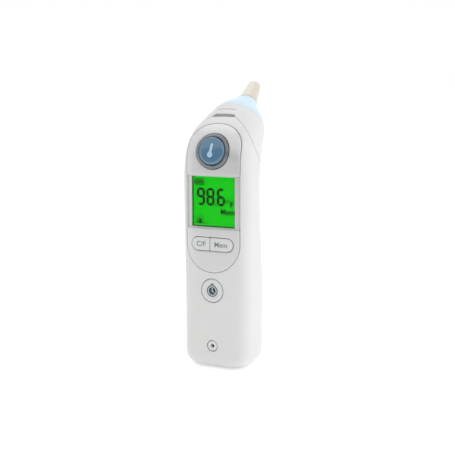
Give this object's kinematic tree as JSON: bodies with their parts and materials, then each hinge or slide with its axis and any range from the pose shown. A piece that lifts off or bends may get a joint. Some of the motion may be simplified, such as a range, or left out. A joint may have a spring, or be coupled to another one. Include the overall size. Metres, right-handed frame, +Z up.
{
  "type": "ear thermometer",
  "caption": "Upright handheld ear thermometer with a tilted probe head, lit display, silver control fascia, cover ejector and rear battery door",
  "frame": {"origin": "centre of the flat base that the thermometer stands on", "axes": "+Z up along the handle, -Y towards the display and buttons, +X to the right as seen from the front"},
  "size_m": [0.0384, 0.0592, 0.1515],
  "materials": {
    "white_shell": "semi-gloss moulded",
    "silver_fascia": "satin silver lacquer",
    "clear_window": "clear polished",
    "black_foam": "closed-cell foam",
    "ring_grey": "polished dark grey",
    "blue_cap": "polished blue",
    "key_grey": "satin",
    "frame_grey": "matte",
    "lit_display": "lit green display",
    "acrylic": "clear acrylic",
    "led_white": "epoxy",
    "dark_rubber": "elastomer",
    "chip_black": "moulded",
    "board_green": "solder mask",
    "bright_steel": "nickel plated",
    "tray_grey": "moulded",
    "cell_jacket": "printed sleeve",
    "probe_grey": "moulded",
    "gold_plate": "gold plated, polished",
    "heater_film": "polyimide film",
    "flex_orange": "polyimide film",
    "light_blue": "semi-gloss moulded",
    "cover_film": "thin moulded film"
  },
  "bodies": {
    "handle": {"backlight_led_left": "led_white", "backlight_led_right": "led_white", "battery_left": "cell_jacket", "battery_right": "cell_jacket", "battery_tray": "tray_grey", "board_screw_1": "bright_steel", "board_screw_2": "bright_steel", "bridge_plate": "bright_steel", "button_ring": "ring_grey", "buzzer": "chip_black", "cf_dome": "bright_steel", "contact_spring_lower": "bright_steel", "contact_spring_upper": "bright_steel", "controller_chip": "chip_black", "cover_switch": "chip_black", "display_gasket": "black_foam", "display_window": "clear_window", "ejector_spring": "bright_steel", "fascia_panel": "silver_fascia", "flex_connector": "chip_black", "front_housing": "white_shell", "heater_ring": "heater_film", "housing_screw_1": "bright_steel", "housing_screw_2": "bright_steel", "lcd_frame": "frame_grey", "lcd_panel": "lit_display", "light_guide": "acrylic", "main_board": "board_green", "measure_dome": "bright_steel", "mem_dome": "bright_steel", "negative_plate": "bright_steel", "positive_plate": "bright_steel", "probe_core": "probe_grey", "probe_mount": "probe_grey", "probe_window": "clear_window", "rear_housing": "white_shell", "release_spring": "bright_steel", "sensor_flex": "flex_orange", "thermopile_sensor": "bright_steel", "timer_dome": "bright_steel", "tray_screw_1": "bright_steel", "tray_screw_2": "bright_steel", "waveguide": "gold_plate", "zebra_strip": "dark_rubber"},
    "ejector": {"ejector_hood": "white_shell", "ejector_collar": "light_blue", "ejector_sleeve": "white_shell"},
    "cover": {"probe_cover": "cover_film"},
    "cover_pin": {"cover_detector_pin": "bright_steel"},
    "measure_key": {"measure_button": "blue_cap"},
    "cf_key": {"cf_button": "key_grey"},
    "mem_key": {"mem_button": "key_grey"},
    "timer_key": {"timer_button": "key_grey"},
    "release": {"release_button": "white_shell"},
    "door": {"battery_door": "white_shell"}
  },
  "joints": [
    {"name": "measure_press", "type": "slide", "parent": "handle", "child": "measure_key", "axis": [0, 0.9821, -0.1884], "range_m": [0, 0.0006], "stiffness_N_per_m": 150, "springref_m": -0.001},
    {"name": "cf_press", "type": "slide", "parent": "handle", "child": "cf_key", "axis": [0, 1, 0], "range_m": [0, 0.0005], "stiffness_N_per_m": 60, "springref_m": -0.001},
    {"name": "mem_press", "type": "slide", "parent": "handle", "child": "mem_key", "axis": [0, 1, 0], "range_m": [0, 0.0005], "stiffness_N_per_m": 60, "springref_m": -0.001},
    {"name": "timer_press", "type": "slide", "parent": "handle", "child": "timer_key", "axis": [0, 1, 0], "range_m": [0, 0.0005], "stiffness_N_per_m": 100, "springref_m": -0.001},
    {"name": "release_push", "type": "slide", "parent": "handle", "child": "release", "axis": [0, 1, 0], "range_m": [0, 0.0015], "stiffness_N_per_m": 80, "springref_m": -0.002, "deforming": ["release_spring"]},
    {"name": "ejector_slide", "type": "slide", "parent": "handle", "child": "ejector", "axis": [0, 0.7431, 0.6691], "range_m": [0, 0.004], "stiffness_N_per_m": 150, "springref_m": -0.004, "deforming": ["ejector_spring"]},
    {"name": "cover_pull", "type": "slide", "parent": "ejector", "child": "cover", "axis": [0, 0.7431, 0.6691], "range_m": [0, 0.014]},
    {"name": "cover_pin_lift", "type": "slide", "parent": "handle", "child": "cover_pin", "axis": [0, 0.7431, 0.6691], "range_m": [0, 0.0008]},
    {"name": "door_hinge", "type": "hinge", "parent": "handle", "child": "door", "pos_m": [0, 0.0118, 0.078], "axis": [1, 0, 0], "range_deg": [0, 75]}
  ],
  "couplings": [
    {"joint": "cover_pin_lift", "follows": "cover_pull", "ratio": 0.05}
  ]
}
